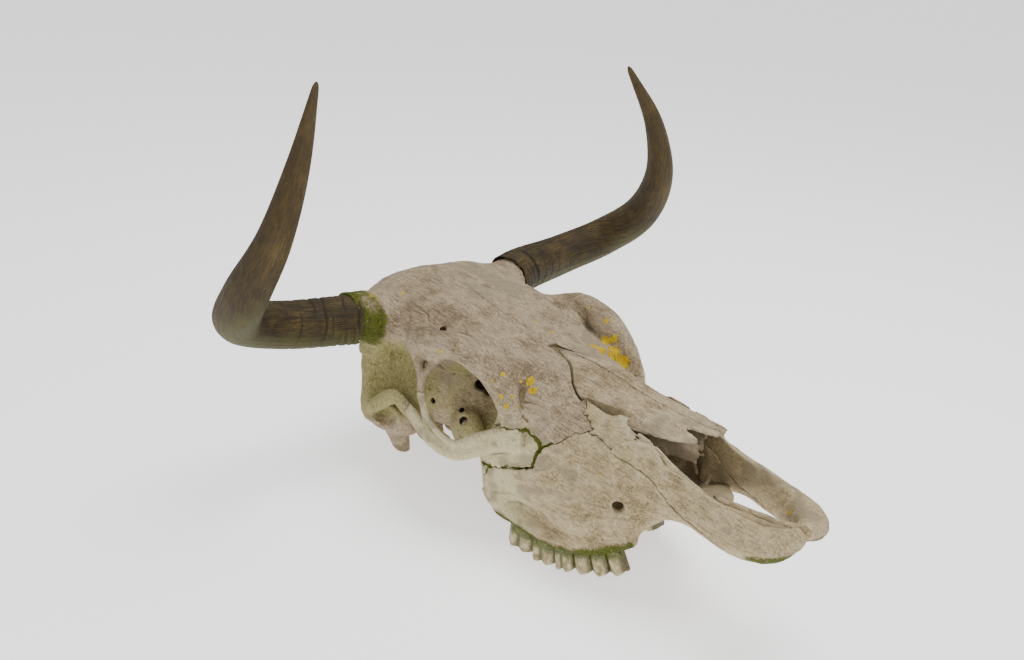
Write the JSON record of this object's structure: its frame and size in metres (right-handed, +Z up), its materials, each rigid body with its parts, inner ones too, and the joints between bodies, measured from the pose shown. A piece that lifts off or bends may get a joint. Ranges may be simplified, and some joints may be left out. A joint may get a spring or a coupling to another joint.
{
  "type": "cow skull",
  "caption": "Life-size weathered cow skull with curved horn sheaths, open orbits, split nasal tips and upper cheek teeth, lying on its molars and jugular processes.",
  "frame": {"origin": "centre of the bounding box in plan, on the surface that the skull lies on", "axes": "+X towards the nose, +Y towards the animal's left, +Z up; the bone is mirrored across the XZ plane, and the two horn sheaths differ a little"},
  "size_m": [0.5303, 0.5456, 0.4203],
  "materials": {
    "frontal_bone": "weathered bone, chalky and finely cracked, warm grey with mauve and brown mottling",
    "cheek_bone": "weathered bone, pale grey with a green algae tint",
    "jaw_bone": "weathered bone, cream grey, moss along the tooth sockets",
    "nasal_bone": "weathered bone, thin, beige grey with fine grain lengthwise",
    "horn_keratin": "weathered horn, dull dark brown grey, fibrous lengthwise, with low rings at the base"
  },
  "bodies": {
    "root": {"cranium": "frontal_bone", "zygomatic_left": "cheek_bone", "zygomatic_right": "cheek_bone", "maxilla_left": "jaw_bone", "maxilla_right": "jaw_bone", "incisive_left": "jaw_bone", "incisive_right": "jaw_bone", "nasal_left": "nasal_bone", "nasal_right": "nasal_bone", "horn_left": "horn_keratin", "horn_right": "horn_keratin"}
  },
  "joints": []
}
